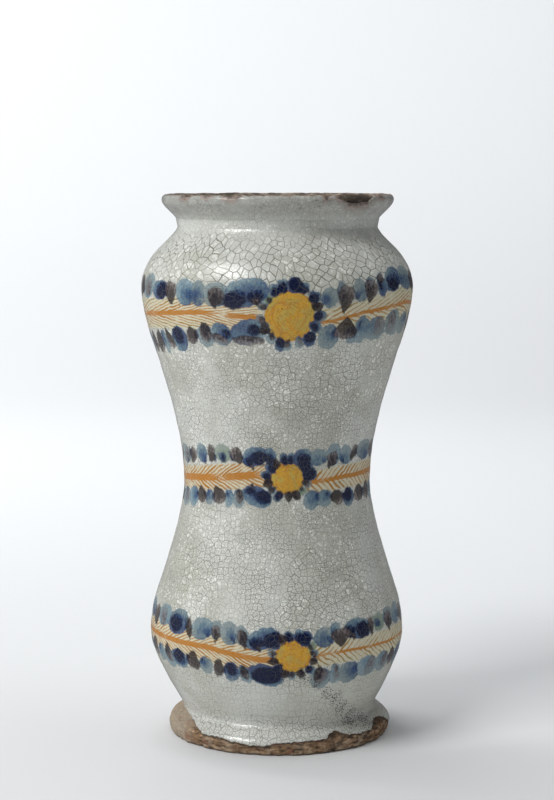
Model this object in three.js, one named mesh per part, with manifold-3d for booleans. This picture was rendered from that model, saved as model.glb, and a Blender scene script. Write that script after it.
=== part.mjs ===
// Albarello: a waisted drug jar of tin-glazed earthenware, with a splayed foot and an everted lip.
// Millimetres, +Z up. The origin is the centre of the underside, and the painted front faces -Y.
// A thrown jar is one body of clay under two coats of glaze, so it has three solids.

import * as THREE from 'three';
import { mergeVertices } from 'three/addons/utils/BufferGeometryUtils.js';
import Module from 'manifold-3d';

// Outline of the glazed jar, from the foot up: each height and the radius of the glaze there.
const FOOT_EDGE_R = 57.0;
const FOOT_Z = 5.0;
const FOOT_R = 58.2;
const CREASE_Z = 13.8;
const CREASE_R = 50.4;
const LOW_FLANK_Z = 28.2;
const LOW_FLANK_R = 57.2;
const BELLY_Z = 54.5;
const BELLY_R = 65.9;
const MID_FLANK_Z = 96.5;
const MID_FLANK_R = 55.5;
const WAIST_Z = 132.5;
const WAIST_R = 48.4;
const HIGH_FLANK_Z = 193.2;
const HIGH_FLANK_R = 60.6;
const SHOULDER_Z = 232.5;
const SHOULDER_R = 70.0;
const TOP_FLANK_Z = 252.0;
const TOP_FLANK_R = 61.3;
const NECK_Z = 264.8;
const NECK_R = 51.3;
const LIP_Z = 277.0;
const LIP_R = 59.7;
const HEIGHT = 280;
const LIP_TOP_R = 58.3;

// Slope of the outline, radius over height, at the stations where it is neither widest nor narrowest.
const FOOT_EDGE_SLOPE = 0.4;
const FOOT_TOP_SLOPE = -1.6;
const FOOT_TOP_RISE = 1.2;
const CREASE_FILLET = 3.2;
const CREASE_SLOPE = 0.45;
const LOW_FLANK_SLOPE = 0.5;
const MID_FLANK_SLOPE = -0.28;
const HIGH_FLANK_SLOPE = 0.31;
const TOP_FLANK_SLOPE = -0.95;
const LIP_TOP_SLOPE = -0.9;

// How far a short bend gets towards its end slope on the way, and where the mouth's flare sets in.
const CREASE_BEND = 0.6;
const FLARE_BEND = 0.5;

// Thicknesses, from the outside in, and the clearance that parts the layers.
const OUTER_COAT = 0.7;
const CLEARANCE = 0.3;
const WALL = 5.8;
const INNER_COAT = 0.6;
const FLOOR = 9.0;
const FLOOR_FLAT_R = 28;
const LIP_FLAT = 3.4;

// Where the outer coat starts above the foot edge, and how far each coat stops short of the lip top.
const GLAZE_LINE_Z = 5.5;
const OUTER_COAT_STOP = 0.8;
const INNER_COAT_STOP = 1.6;

// Places with no outer glaze: the angle is in degrees to the right of the front, height in mm,
// then the half width round the jar, the half height, and the half depth into it.
const HELD_PATCH = { angle: -110, z: 4, across: 60, up: 10.5, deep: 68 };
const CHIPS = [
  { angle: 30, z: 5.5, across: 5.6, up: 4.2, deep: 4 },
  { angle: 77, z: 5.5, across: 8, up: 4.5, deep: 4 },
  { angle: 54, z: 277.4, across: 13, up: 2.8, deep: 4 },
];

// Fineness of the solids.
const SEGMENTS = 36;
const LONGEST_STEP = 10;
const BEND_STEPS = 4;
const CHIP_SEGMENTS = 16;
const WELD = 1e-4;

const creaseStart = CREASE_Z - FOOT_TOP_RISE;
const creaseEnd = CREASE_Z + CREASE_FILLET;
const stations = [
  { z: 0, r: FOOT_EDGE_R, slope: FOOT_EDGE_SLOPE },
  { z: FOOT_Z, r: FOOT_R, slope: 0 },
  { z: creaseStart, r: CREASE_R - CREASE_BEND * FOOT_TOP_SLOPE * FOOT_TOP_RISE, slope: FOOT_TOP_SLOPE },
  { z: CREASE_Z, r: CREASE_R, slope: 0 },
  { z: creaseEnd, r: CREASE_R + CREASE_BEND * CREASE_SLOPE * CREASE_FILLET, slope: CREASE_SLOPE },
  { z: LOW_FLANK_Z, r: LOW_FLANK_R, slope: LOW_FLANK_SLOPE },
  { z: BELLY_Z, r: BELLY_R, slope: 0 },
  { z: MID_FLANK_Z, r: MID_FLANK_R, slope: MID_FLANK_SLOPE },
  { z: WAIST_Z, r: WAIST_R, slope: 0 },
  { z: HIGH_FLANK_Z, r: HIGH_FLANK_R, slope: HIGH_FLANK_SLOPE },
  { z: SHOULDER_Z, r: SHOULDER_R, slope: 0 },
  { z: TOP_FLANK_Z, r: TOP_FLANK_R, slope: TOP_FLANK_SLOPE },
  { z: NECK_Z, r: NECK_R, slope: 0 },
  { z: LIP_Z, r: LIP_R, slope: 0 },
  { z: HEIGHT, r: LIP_TOP_R, slope: LIP_TOP_SLOPE },
];

// Radius and slope of the glazed outline at a height: a cubic between two stations.
function outline(z) {
  const height = Math.min(z, HEIGHT);
  const next = Math.max(1, stations.findIndex((station) => station.z >= height));
  const a = stations[next - 1];
  const b = stations[next];
  const span = b.z - a.z;
  const t = (z - a.z) / span;
  const rise = b.r - a.r;
  const bendA = a.slope * span - rise;
  const bendB = rise - b.slope * span;
  const r = a.r + t * rise + t * (1 - t) * (bendA * (1 - t) + bendB * t);
  const slope = (rise + bendA * (1 - t) * (1 - 3 * t) + bendB * t * (2 - 3 * t)) / span;
  return { r, slope };
}

// A point that lies a depth inside the glazed outline, as a profile point (radius, height).
function below(z, depth) {
  const { r, slope } = outline(z);
  return new THREE.Vector2(r - depth * Math.hypot(1, slope), z);
}

// Heights of the rings between two heights: every station, and even steps between stations.
function ringHeights(from, to) {
  const inside = stations.map((station) => station.z).filter((z) => z > from && z < to);
  const stops = [from, ...inside, to];
  const heights = [from];
  for (let i = 1; i < stops.length; i += 1) {
    const span = stops[i] - stops[i - 1];
    const steps = Math.ceil(span / LONGEST_STEP);
    for (let k = 1; k <= steps; k += 1) heights.push(stops[i - 1] + (span * k) / steps);
  }
  return heights;
}

// The inside of the clay: a rounded floor corner, a wall that follows the outline, a flared mouth.
const wallDepth = OUTER_COAT + CLEARANCE + WALL;
const clayLipR = below(HEIGHT, OUTER_COAT + CLEARANCE).x;
const mouthR = clayLipR - LIP_FLAT;

function insideWall() {
  const wallFoot = below(LOW_FLANK_Z, wallDepth);
  const wallTop = below(NECK_Z, wallDepth);
  const cornerR = wallFoot.x - LOW_FLANK_SLOPE * (LOW_FLANK_Z - FLOOR);
  const corner = new THREE.QuadraticBezierCurve(
    new THREE.Vector2(FLOOR_FLAT_R, FLOOR),
    new THREE.Vector2(cornerR, FLOOR),
    wallFoot,
  );
  const flare = new THREE.QuadraticBezierCurve(
    wallTop,
    new THREE.Vector2(wallTop.x, NECK_Z + FLARE_BEND * (HEIGHT - NECK_Z)),
    new THREE.Vector2(mouthR, HEIGHT),
  );
  const wall = ringHeights(LOW_FLANK_Z, NECK_Z).map((z) => below(z, wallDepth));
  return [...corner.getPoints(BEND_STEPS), ...wall.slice(1, -1), ...flare.getPoints(BEND_STEPS)];
}

// The inside wall moved towards the hollow by a distance, square to its own direction.
function inward(points, distance) {
  return points.map((point, i) => {
    const before = i === 0 ? new THREE.Vector2(0, FLOOR) : points[i - 1];
    const after = points[Math.min(i + 1, points.length - 1)];
    const along = after.clone().sub(before).normalize();
    return new THREE.Vector2(point.x - distance * along.y, point.y + distance * along.x);
  });
}

function turned(profile) {
  const shape = new THREE.LatheGeometry(profile, SEGMENTS);
  shape.deleteAttribute('normal');
  shape.deleteAttribute('uv');
  return mergeVertices(shape, WELD);
}

// The thrown clay: flat underside, outside wall, flat worn lip, inside wall and floor.
function clayBody() {
  const outside = ringHeights(0, HEIGHT).map((z) => below(z, OUTER_COAT + CLEARANCE));
  const hollow = insideWall().reverse();
  const axisBottom = new THREE.Vector2(0, 0);
  const axisFloor = new THREE.Vector2(0, FLOOR);
  return turned([axisBottom, ...outside, ...hollow, axisFloor]);
}

const wasm = await Module();
wasm.setup();

function toSolid(geometry) {
  const mesh = new wasm.Mesh({
    numProp: 3,
    vertProperties: new Float32Array(geometry.attributes.position.array),
    triVerts: new Uint32Array(geometry.index.array),
  });
  return new wasm.Manifold(mesh);
}

function toGeometry(solid) {
  const mesh = solid.getMesh();
  const geometry = new THREE.BufferGeometry();
  geometry.setAttribute('position', new THREE.BufferAttribute(mesh.vertProperties, 3));
  geometry.setIndex(new THREE.BufferAttribute(mesh.triVerts, 1));
  return geometry;
}

// A place with no glaze: an ellipsoid set into the outline, in the lathe's own axes (Y up).
function barePlace({ angle, z, across, up, deep }) {
  const place = new THREE.SphereGeometry(1, 2 * CHIP_SEGMENTS, CHIP_SEGMENTS);
  place.deleteAttribute('normal');
  place.deleteAttribute('uv');
  place.scale(across, up, deep);
  place.translate(0, z, outline(z).r);
  place.rotateY(THREE.MathUtils.degToRad(angle));
  return toSolid(mergeVertices(place, WELD));
}

// The outer coat: a shell on the outside wall, cut away at the held patch and the chips.
function outerGlaze() {
  const heights = ringHeights(GLAZE_LINE_Z, HEIGHT - OUTER_COAT_STOP);
  const face = heights.map((z) => below(z, 0));
  const back = heights.map((z) => below(z, OUTER_COAT)).reverse();
  let coat = toSolid(turned([...face, ...back, face[0].clone()]));
  for (const place of [HELD_PATCH, ...CHIPS]) coat = coat.subtract(barePlace(place));
  return toGeometry(coat);
}

// The inner coat: a cup on the floor and the inside wall, which stops below the worn lip.
function innerGlaze() {
  const wall = insideWall();
  const last = wall[wall.length - 1];
  const previous = wall[wall.length - 2];
  const end = last.clone().lerp(previous, INNER_COAT_STOP / last.distanceTo(previous));
  const clad = [...wall.slice(0, -1), end];
  const back = inward(clad, CLEARANCE);
  const face = inward(clad, CLEARANCE + INNER_COAT).reverse();
  const axisBack = new THREE.Vector2(0, FLOOR + CLEARANCE);
  const axisFace = new THREE.Vector2(0, FLOOR + CLEARANCE + INNER_COAT);
  return turned([axisBack, ...back, ...face, axisFace]);
}

function finish(color, roughness) {
  return new THREE.MeshStandardMaterial({ color, roughness, metalness: 0 });
}

function layer(name, geometry, material) {
  const mesh = new THREE.Mesh(geometry, material);
  mesh.name = name;
  return mesh;
}

const albarello = new THREE.Group();
albarello.add(
  layer('clay_body', clayBody(), finish(0x9c8468, 0.9)),
  layer('outer_glaze', outerGlaze(), finish(0xd6d7d0, 0.2)),
  layer('inner_glaze', innerGlaze(), finish(0xcac8bc, 0.3)),
);

// The lathe turns about Y, and the jar stands along Z.
albarello.rotation.x = Math.PI / 2;

export default albarello;
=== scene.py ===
import math

import bpy
import numpy as np
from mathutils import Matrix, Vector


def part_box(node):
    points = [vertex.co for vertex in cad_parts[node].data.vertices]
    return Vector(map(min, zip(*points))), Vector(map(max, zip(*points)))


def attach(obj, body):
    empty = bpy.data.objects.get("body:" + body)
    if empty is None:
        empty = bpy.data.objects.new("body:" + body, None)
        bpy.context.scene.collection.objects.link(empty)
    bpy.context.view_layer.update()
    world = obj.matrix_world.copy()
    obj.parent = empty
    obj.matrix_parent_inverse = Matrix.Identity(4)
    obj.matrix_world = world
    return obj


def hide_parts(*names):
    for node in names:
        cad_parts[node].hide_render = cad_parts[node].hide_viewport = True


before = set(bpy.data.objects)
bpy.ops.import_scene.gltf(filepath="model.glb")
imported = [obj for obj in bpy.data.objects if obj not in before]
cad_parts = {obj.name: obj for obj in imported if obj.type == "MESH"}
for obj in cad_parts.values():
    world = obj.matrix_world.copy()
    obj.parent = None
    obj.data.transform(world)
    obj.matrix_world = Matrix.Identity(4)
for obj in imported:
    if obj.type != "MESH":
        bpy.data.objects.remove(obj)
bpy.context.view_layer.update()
bpy.ops.object.select_all(action="DESELECT")

# The thrown clay: one lump of buff earthenware, pulled up on the wheel, collared in at the
# waist and the neck, and cut off with a wire. It shows bare at the foot, on the worn lip and
# wherever the glaze was held off it or has chipped away.
MM = 0.001
TURN = 2 * math.pi
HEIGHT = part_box("clay_body")[1].z
CLAY_DEPTH = 0.7 * MM
WALL = 6.1 * MM
FLOOR = 9.0 * MM
FLOOR_FLAT_R = 28.0 * MM
LIP_FLAT_IN_R = 53.6 * MM
LIP_ROUNDING = 1.1 * MM
STANDING_RING_R = 51.0 * MM
HOLLOW_UNDERSIDE = 0.7 * MM
FOOT_TOP = 20 * MM
FOOT_WAVER = 0.38 * MM
FOOT_NICKS = 0.6 * MM
WIRE_PULLED_AT = 31 * MM
WIRE_STEP = 4.3 * MM
WIRE_MARK = 0.22 * MM
CHIP_DEPTH = 0.45 * MM
CLAY_COLUMNS = 420

# The glazed outline from the foot up, in mm: height, radius, and how the radius changes with
# height. The rounded corner of the hollow ends at CORNER, and its mouth flares from NECK.
CORNER = 28.2
NECK = 264.8
OUTLINE = (
    (0.0, 57.0, 0.4),
    (5.0, 58.2, 0.0),
    (12.6, 51.55, -1.6),
    (13.8, 50.4, 0.0),
    (17.0, 51.26, 0.45),
    (CORNER, 57.2, 0.5),
    (54.5, 65.9, 0.0),
    (96.5, 55.5, -0.28),
    (132.5, 48.4, 0.0),
    (193.2, 60.6, 0.31),
    (232.5, 70.0, 0.0),
    (252.0, 61.3, -0.95),
    (NECK, 51.3, 0.0),
    (277.0, 59.7, 0.0),
    (280.0, 58.3, -0.9),
)
levels, radii, slopes = np.array(OUTLINE).T * np.array([[MM], [MM], [1.0]])


def outline(z):
    """Radius of the glazed jar at a height, and the slope of its side there."""
    top = np.clip(np.searchsorted(levels, z), 1, len(levels) - 1)
    span = levels[top] - levels[top - 1]
    share = (z - levels[top - 1]) / span
    rise = radii[top] - radii[top - 1]
    low_bend = slopes[top - 1] * span - rise
    high_bend = rise - slopes[top] * span
    bend = low_bend * (1 - share) + high_bend * share
    r = radii[top - 1] + share * rise + share * (1 - share) * bend
    low_turn = low_bend * (1 - share) * (1 - 3 * share)
    slope = (rise + low_turn + high_bend * share * (2 - 3 * share)) / span
    return r, slope


def below(z, depth):
    """Radius at a height, a depth inside the glazed side and square to it."""
    r, slope = outline(z)
    return r - depth * np.hypot(1, slope)


def rows(start, end, fine_step, coarse_step, fine_zones=()):
    """Heights of the rings between two heights, closer together in the fine zones."""
    heights = [start]
    while heights[-1] < end:
        z = heights[-1]
        fine = any(low * MM <= z < high * MM for low, high in fine_zones)
        heights.append(z + (fine_step if fine else coarse_step) * MM)
    if end - heights[-2] < 0.4 * (heights[-1] - heights[-2]):
        del heights[-2]
    heights[-1] = end
    return np.array(heights)


def curved(start, pull, end, steps):
    """Points of a bend from start to end that leans towards pull."""
    t = np.linspace(0, 1, steps + 1)[:, None]
    start, pull, end = map(np.array, (start, pull, end))
    return (1 - t) ** 2 * start + 2 * t * (1 - t) * pull + t**2 * end


def inside_section(depth, floor, mouth_r, mouth_z, steps, coarse):
    """The hollow's side from the floor up: a rounded corner, the wall and the flared mouth."""
    corner_z, neck_z = CORNER * MM, NECK * MM
    corner_r, neck_r = below(corner_z, depth), below(neck_z, depth)
    pull_r = corner_r - 0.5 * (corner_z - floor)
    corner = curved((FLOOR_FLAT_R, floor), (pull_r, floor), (corner_r, corner_z), steps)
    heights = rows(corner_z, neck_z, coarse, coarse)[1:-1]
    wall = np.column_stack([below(heights, depth), heights])
    half_up = neck_z + 0.5 * (mouth_z - neck_z)
    mouth = curved((neck_r, neck_z), (neck_r, half_up), (mouth_r, mouth_z), steps)
    return np.vstack([corner, wall, mouth])


def thrown(name, section, columns, closed):
    """Turns a section, a row of (radius, height) points, round the wheel's axis."""
    bpy.ops.object.select_all(action="DESELECT")
    bpy.ops.mesh.primitive_circle_add(vertices=len(section), radius=MM)
    piece = bpy.context.object
    piece.name = piece.data.name = name
    for vertex, (r, z) in zip(piece.data.vertices, section):
        vertex.co = (r, 0.0, z)
    bpy.ops.object.mode_set(mode="EDIT")
    bpy.ops.mesh.select_mode(type="EDGE")
    if not closed:
        bpy.ops.mesh.select_all(action="DESELECT")
        bpy.ops.object.mode_set(mode="OBJECT")
        ends = {0, len(section) - 1}
        for edge in piece.data.edges:
            edge.select = set(edge.vertices) == ends
        bpy.ops.object.mode_set(mode="EDIT")
        bpy.ops.mesh.delete(type="EDGE")
    bpy.ops.object.mode_set(mode="OBJECT")
    wheel = piece.modifiers.new("wheel", "SCREW")
    wheel.angle = TURN
    wheel.steps = wheel.render_steps = columns
    wheel.use_merge_vertices = True
    wheel.merge_threshold = 0.002 * MM
    bpy.ops.object.modifier_apply(modifier=wheel.name)
    bpy.ops.object.mode_set(mode="EDIT")
    bpy.ops.mesh.select_all(action="SELECT")
    bpy.ops.mesh.remove_doubles(threshold=0.002 * MM)
    bpy.ops.mesh.normals_make_consistent(inside=False)
    bpy.ops.object.mode_set(mode="OBJECT")
    bpy.ops.object.shade_smooth()
    return piece


def read_points(piece):
    """Angle from the front, radius and height of each point of a piece."""
    points = np.empty(len(piece.data.vertices) * 3)
    piece.data.vertices.foreach_get("co", points)
    x, y, z = points.reshape(-1, 3).T
    return np.arctan2(x, -y), np.hypot(x, y), z


def ragged(angle, seed, fewest=7, most=110):
    """An uneven line round the jar, mostly between -1 and 1."""
    draw = np.random.default_rng(seed)
    counts = np.arange(fewest, most)
    starts = draw.uniform(0, TURN, len(counts))
    sizes = draw.uniform(0.3, 1.0, len(counts)) / np.sqrt(counts)
    round_the_jar = np.linspace(-math.pi, math.pi, 3000)
    waves = np.sin(np.outer(counts, round_the_jar) + starts[:, None])
    line = (sizes[:, None] * waves).sum(axis=0) / np.sqrt((sizes**2).sum() / 0.8)
    return np.interp(angle, round_the_jar, line)


def reached(distance, full):
    """How much of a full distance has been covered, from 0 to 1."""
    return np.clip(distance / full, 0, 1)


def set_points(piece, angle, r, z):
    """Puts a piece's points back, on an axis that leans and bends as the wet jar's did, with
    the rings of the wheel and a slightly oval top."""
    rings = 0.05 * np.sin(TURN * z / (9.5 * MM) - angle)
    rings += 0.07 * np.sin(TURN * z / (23.0 * MM) + 1.1) + 0.22 * np.cos(2 * angle + 0.6) * z / HEIGHT
    r = r + rings * MM * reached(r, 20 * MM)
    foot_drift = 1.1 * np.exp(-((z / (27.0 * MM)) ** 2)) - 0.25 * np.exp(-(((z / MM - 54) / 18) ** 2))
    lip_drift = 0.4 * reached(z / MM - 200, 80) ** 2
    x = r * np.sin(angle) + (foot_drift + lip_drift) * MM
    piece.data.vertices.foreach_set("co", np.column_stack([x, -r * np.cos(angle), z]).ravel())
    piece.data.update()


def keep(piece, name, values):
    """Stores one number, or three, for each point, for the piece's material to read."""
    kind = "FLOAT" if values.ndim == 1 else "FLOAT_VECTOR"
    field = "value" if values.ndim == 1 else "vector"
    layer = piece.data.attributes.new(name, kind, "POINT")
    layer.data.foreach_set(field, values.astype(np.float32).ravel())


# Where the glaze starts above the foot: angle from the front in degrees, height in mm. The
# bare patch on the left, where the jar was held, runs on round the back.
GLAZE_FOOT = (
    (-176, 6.0), (-150, 12.4), (-130, 14.2), (-110, 14.3), (-88, 13.8), (-74, 13.5), (-64, 12.6),
    (-54, 11.1), (-47.5, 8.9), (-43, 7.4), (-37, 7.3), (-31, 7.4), (-27, 6.5), (-15, 5.3), (-9, 4.9),
    (-2, 6.5), (4, 6.8), (11, 7.1), (25, 7.4), (26.8, 9.0), (31.7, 10.4), (35, 8.9), (37, 7.8),
    (47, 7.0), (56, 7.2), (60, 8.8), (64, 10.6), (71, 10.2), (77, 8.4), (83, 4.6), (96, 4.2),
    (118, 5.4), (124, 7.6), (130, 5.6), (150, 5.2), (168, 6.2),
)
# Where it ends under the lip, with the chips.
GLAZE_LIP = (
    (-120, 279.6), (-112, 278.4), (-106, 279.6), (-56, 279.6), (-53, 278.9), (-48, 278.7),
    (-45, 279.5), (-30, 279.6), (-26, 279.0), (-21, 278.9), (-17, 279.6), (21, 279.6), (23, 279.0),
    (26, 279.6), (28.5, 279.2), (31, 277.5), (34, 276.9), (38, 275.8), (43, 275.6), (47, 276.6),
    (50, 276.2), (53.5, 278.8), (56, 279.6), (98, 279.6), (101, 278.6), (107, 279.6), (150, 279.6),
    (158, 277.2), (166, 276.9), (172, 279.6),
)


def glaze_edge(angle, stations, seed):
    """Height of the glaze's edge round the jar, in metres."""
    angles, heights = np.array(stations).T
    line = np.interp(np.degrees(angle), angles, heights, period=360)
    roughness = np.interp(np.degrees(angle), (-60, -38, 80, 95), (0.08, 0.3, 0.3, 0.16), period=360)
    return (line + roughness * ragged(angle, seed, 30, 150)) * MM


foot_rows = rows(0.8 * MM, 17 * MM, 0.6, 0.6)
side_rows = rows(17 * MM, 270 * MM, 1.2, 5.0, ((254, 270),))
top_rows = rows(270 * MM, HEIGHT - LIP_ROUNDING, 0.8, 0.8)
side = np.concatenate([foot_rows, side_rows[1:], top_rows[1:]])
lip_r = below(HEIGHT, CLAY_DEPTH)
lip_start = (below(side[-1], CLAY_DEPTH), side[-1])
outer_lip = curved(lip_start, (lip_r, HEIGHT), (lip_r - LIP_ROUNDING, HEIGHT), 4)
inner_start = (LIP_FLAT_IN_R - 0.6 * LIP_ROUNDING, HEIGHT - 1.2 * LIP_ROUNDING)
inner_lip = curved((LIP_FLAT_IN_R + LIP_ROUNDING, HEIGHT), (LIP_FLAT_IN_R, HEIGHT), inner_start, 4)
foot_r = below(0.0, CLAY_DEPTH)
hollow = inside_section(CLAY_DEPTH + WALL, FLOOR, *inner_start, 8, 7.0)[::-1]
underside_r = np.linspace(0, STANDING_RING_R, 22)
underside = np.column_stack([underside_r, np.full(22, HOLLOW_UNDERSIDE)])
clay_section = np.vstack([
    underside,
    [(STANDING_RING_R + 1.2 * MM, 0.0)],
    curved((foot_r - 0.9 * MM, 0.0), (foot_r, 0.0), (below(foot_rows[0], CLAY_DEPTH), foot_rows[0]), 4),
    np.column_stack([below(side, CLAY_DEPTH), side])[1:-1],
    outer_lip,
    inner_lip,
    hollow[1:],
    np.column_stack([np.linspace(FLOOR_FLAT_R, 0, 8), np.full(8, FLOOR)])[1:],
])
clay = thrown("thrown_clay", clay_section, CLAY_COLUMNS, closed=False)

angle, r, z = read_points(clay)
foot_edge = glaze_edge(angle, GLAZE_FOOT, 3)
lip_edge = glaze_edge(angle, GLAZE_LIP, 5)
outside = r > below(z, CLAY_DEPTH + 0.5 * WALL)
low = z < FOOT_TOP
bare_foot = reached(foot_edge - z, 2 * MM) * low
r = r + FOOT_WAVER * ragged(angle, 11, 4, 60) * bare_foot * outside
r = r - FOOT_NICKS * np.clip(ragged(angle, 12, 20, 140), 0, 2) * bare_foot * outside
under = (z < 3 * MM) & (r < STANDING_RING_R)
from_pull = np.hypot(r * np.sin(angle) - WIRE_PULLED_AT, r * np.cos(angle))
wire_cut = np.sin(TURN * from_pull / WIRE_STEP)
z = z + under * WIRE_MARK * wire_cut * reached(STANDING_RING_R - r, 5 * MM)
on_lip = reached(z - HEIGHT + 2.2 * MM, 2 * MM)
z = z - on_lip * MM * (0.2 + 0.16 * ragged(angle, 13, 5, 90))
chipped = reached(278.6 * MM - lip_edge, 1.5 * MM) * reached(z - 274.5 * MM, MM) * outside
r = r - CHIP_DEPTH * chipped * (1 + 0.4 * ragged(angle, 14, 40, 180))
held = reached(foot_edge - 9.5 * MM, 3 * MM) * (np.sin(angle) < 0.2)
near_glaze = np.exp(-np.abs(foot_edge - z) / (1.1 * MM)) * (1 - 0.75 * held) * outside
near_lip = reached(z - 274 * MM, 2 * MM) * outside
foot_chip = reached(foot_edge - 7.6 * MM, 1.4 * MM) * (np.sin(angle) > 0) * outside
foot_chip = foot_chip * reached(z - 5 * MM, 2 * MM) * low
keep(clay, "soiled", np.clip(near_glaze + 0.3 * chipped + 0.35 * near_lip + 0.4 * foot_chip, 0, 1))
keep(clay, "held", held * low * outside)
set_points(clay, angle, r, z)


class Shade:
    """A value that a finish works out with nodes. It adds and multiplies like a number."""

    def __init__(self, socket):
        self.socket = socket
        self.tree = socket.id_data

    def __add__(self, other):
        return calc("ADD", self, other)

    def __sub__(self, other):
        return calc("SUBTRACT", self, other)

    def __rsub__(self, other):
        return calc("SUBTRACT", other, self)

    def __mul__(self, other):
        return calc("MULTIPLY", self, other)

    def __truediv__(self, other):
        return calc("DIVIDE", self, other)

    def __rtruediv__(self, other):
        return calc("DIVIDE", other, self)

    def also(self, output):
        """Another output of the same node."""
        return Shade(self.socket.node.outputs[output])


def join(value, socket):
    """Links a value to a socket, or sets a plain number or colour on it."""
    if isinstance(value, Shade):
        value.tree.links.new(value.socket, socket)
    else:
        socket.default_value = value


def wired(tree, kind, sockets, output=0, **settings):
    """Adds a node to a tree, with its settings and its sockets, and gives one of its outputs."""
    node = tree.nodes.new(kind)
    for setting, value in settings.items():
        setattr(node, setting, value)
    for socket, value in sockets.items():
        join(value, node.inputs[socket])
    return Shade(node.outputs[output])


def calc(operation, *values):
    """One number worked out from others."""
    tree = next(value.tree for value in values if isinstance(value, Shade))
    return wired(tree, "ShaderNodeMath", dict(enumerate(values)), operation=operation)


def fade(value, none_at, all_at):
    """0 where a value is at none_at, 1 where it is at all_at, and an eased run between them."""
    sockets = {"Value": value, "From Min": none_at, "From Max": all_at}
    return wired(value.tree, "ShaderNodeMapRange", sockets, interpolation_type="SMOOTHSTEP")


def parts(spot):
    """The three numbers of a spot or a colour."""
    first = wired(spot.tree, "ShaderNodeSeparateXYZ", {0: spot})
    return first, first.also(1), first.also(2)


def scaled(spot, times):
    """A spot, so many times as far out."""
    return wired(spot.tree, "ShaderNodeVectorMath", {0: spot, "Scale": times}, operation="SCALE")


def stretched(spot, x, y, z):
    """A spot, with each direction drawn out or pushed together."""
    return wired(spot.tree, "ShaderNodeVectorMath", {0: spot, 1: (x, y, z)}, operation="MULTIPLY")


def in_millimetres(tree):
    """The spot on the piece, in millimetres."""
    return scaled(wired(tree, "ShaderNodeTexCoord", {}, "Object"), 1 / MM)


def clouds(place, size, detail=2.0, warp=0.0):
    """Soft patches of about a size in millimetres, 0 to 1 and mostly near a half."""
    sockets = {"Vector": place, "Scale": 1 / size, "Detail": detail, "Distortion": warp}
    return wired(place.tree, "ShaderNodeTexNoise", sockets)


def laid(share, under, over):
    """One colour laid over another, as far as share says."""
    return wired(share.tree, "ShaderNodeMix", {0: share, 6: under, 7: over}, 2, data_type="RGBA")


def stored(tree, name, output="Fac"):
    """A number, or three, that the mesh keeps for each point."""
    return wired(tree, "ShaderNodeAttribute", {}, output, attribute_name=name)


def new_finish(piece, name):
    """Gives a piece a material, and returns its node tree and its shader."""
    finish = bpy.data.materials.new(name)
    finish.use_nodes = True
    piece.data.materials.append(finish)
    return finish.node_tree, finish.node_tree.nodes["Principled BSDF"]


def dress(shader, colour, roughness, relief, strength, depth):
    """Gives a finish its colour and its roughness, and relief up to a depth in metres."""
    sockets = {"Height": relief, "Strength": strength, "Distance": depth}
    join(colour, shader.inputs["Base Color"])
    join(roughness, shader.inputs["Roughness"])
    join(wired(relief.tree, "ShaderNodeBump", sockets), shader.inputs["Normal"])


def new_effect(name, takes, gives):
    """A node group that takes a place and some numbers, for finishes to share."""
    effect = bpy.data.node_groups.new(name, "ShaderNodeTree")
    effect.interface.new_socket("Place", in_out="INPUT", socket_type="NodeSocketVector")
    for way, names in (("INPUT", takes), ("OUTPUT", gives)):
        for socket in names:
            effect.interface.new_socket(socket, in_out=way, socket_type="NodeSocketFloat")
    taken = effect.nodes.new("NodeGroupInput").outputs
    given = effect.nodes.new("NodeGroupOutput").inputs
    return effect, [Shade(taken[socket]) for socket in ("Place", *takes)], given


# Old dirt that has settled in hollows, in soft patches with small grains in them.
grime, (place, patch), given = new_effect("settled_grime", ("Patch",), ("Amount", "Grains"))
amount = fade(clouds(place, patch, 4.0), 0.42, 0.68)
join(amount, given["Amount"])
join(amount * fade(clouds(place, 1.1, 3.0), 0.48, 0.66), given["Grains"])


def settled(place, patch, output):
    """The amount or the grains of old dirt on a finish, in patches of about a size."""
    sockets = {"Place": place, "Patch": patch}
    return wired(place.tree, "ShaderNodeGroup", sockets, output, node_tree=grime)


BUFF_CLAY = (0.215, 0.128, 0.066, 1)
PALE_CLAY = (0.32, 0.27, 0.205, 1)
RED_CLAY = (0.21, 0.085, 0.045, 1)
RUBBED_CLAY = (0.52, 0.395, 0.27, 1)
# The darkest soil colour, also used for the painted contact shadow along the foot's bottom edge.
DARK_SOIL_AND_SHADE = (0.03, 0.021, 0.016, 1)
SOILED_LIP = (0.075, 0.065, 0.055, 1)
WORN_LIP = (0.24, 0.20, 0.165, 1)

tree, shader = new_finish(clay, "bare_earthenware")
place = in_millimetres(tree)
height = parts(place)[2]
soiled, held_patch = stored(tree, "soiled"), stored(tree, "held")
colour = laid(fade(clouds(place, 12.0, 4.0), 0.42, 0.66) * 0.45, BUFF_CLAY, PALE_CLAY)
mottled = clouds(stretched(place, 0.3, 0.3, 1.0), 1.3, 5.0)
colour = laid(fade(mottled, 0.52, 0.38) * 0.8, colour, DARK_SOIL_AND_SHADE)
colour = laid(fade(mottled, 0.55, 0.70) * 0.7, colour, RUBBED_CLAY)
colour = laid(held_patch * 0.8, colour, PALE_CLAY)
turned_lines = clouds(stretched(place, 0.06, 0.06, 1.6), 1.0, 3.0)
colour = laid(fade(turned_lines, 0.5, 0.75) * 0.35, colour, RED_CLAY)
red_spots = fade(clouds(place, 5.5, 4.0, 0.6), 0.56, 0.68)
colour = laid(red_spots * (0.75 - held_patch * 0.5), colour, RED_CLAY)
rubbed = fade(height + clouds(place, 5.0, 4.0) * 7.0, 5.4, 3.8)
colour = laid(rubbed * 0.6, colour, RUBBED_CLAY)
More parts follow.
